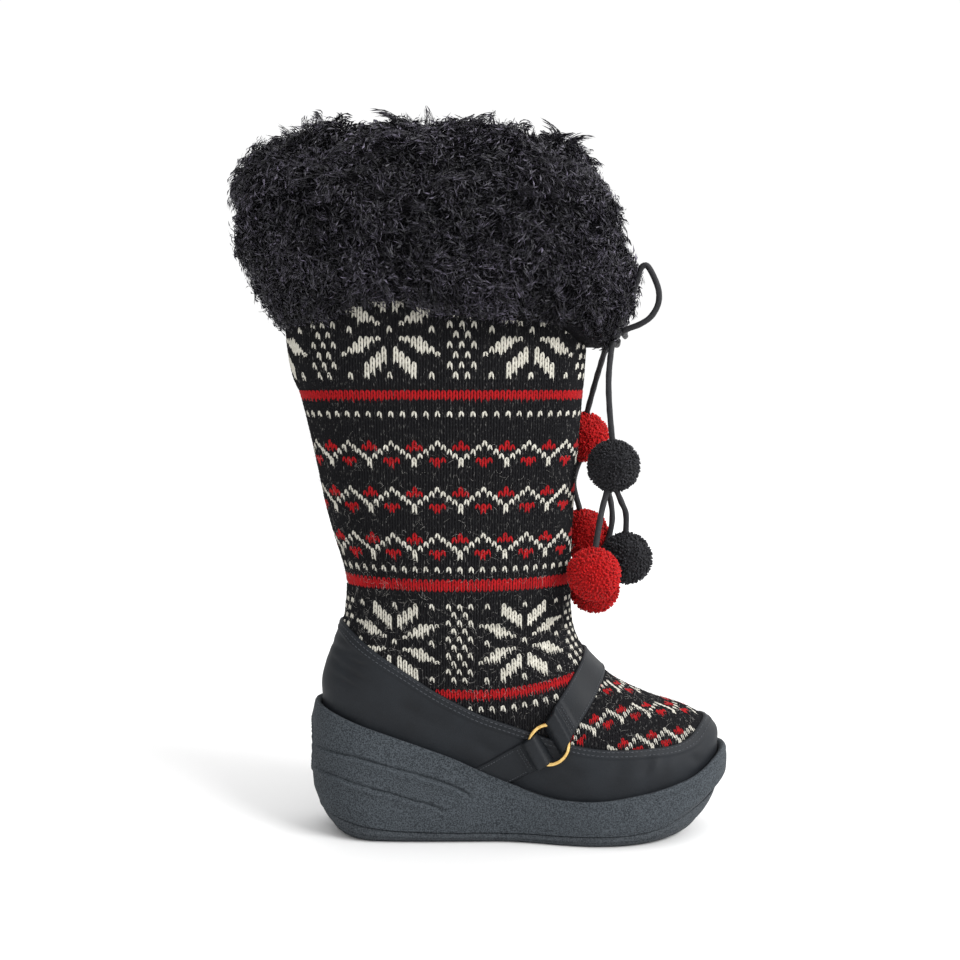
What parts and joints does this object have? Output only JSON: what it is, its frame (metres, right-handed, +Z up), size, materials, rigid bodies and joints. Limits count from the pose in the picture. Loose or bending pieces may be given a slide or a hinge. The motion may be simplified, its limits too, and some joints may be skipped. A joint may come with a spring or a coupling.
{
  "type": "wedge boot",
  "caption": "Knitted knee-length wedge boot for the right foot, with leather foxing, a ring strap, a deep fur cuff and a pompom drawstring.",
  "frame": {"origin": "on the floor under the middle of the sole", "axes": "+X to the toe, +Z up, -Y to the outer side of the foot"},
  "size_m": [0.3179, 0.1653, 0.4362],
  "materials": {
    "outsole_rubber": "matte",
    "rubber": "stippled matte",
    "lining": "brushed",
    "knit": "knitted wool",
    "leather": "matte",
    "gold": "polished",
    "fur": "shaggy pile",
    "cord": "braided",
    "black_yarn": "cut yarn",
    "red_yarn": "cut yarn"
  },
  "bodies": {
    "root": {"outsole": "outsole_rubber", "midsole": "rubber", "insole": "lining", "upper": "knit", "foxing": "leather", "instep_strap": "leather", "strap_tab": "leather", "ring": "gold", "fur_cuff": "fur", "cord_knot": "cord", "cord_loop_outer": "cord", "cord_loop_inner": "cord", "cord_tail_outer": "cord", "cord_tail_inner": "cord", "cord_drop_red_lower": "cord", "cord_drop_black_lower": "cord", "cord_drop_red_middle": "cord", "cord_drop_red_lower_inner": "cord", "pompom_black_upper": "black_yarn", "pompom_black_lower": "black_yarn", "pompom_red_lower": "red_yarn", "pompom_red_upper_inner": "red_yarn", "pompom_red_middle_inner": "red_yarn", "pompom_red_lower_inner": "red_yarn"}
  },
  "joints": []
}
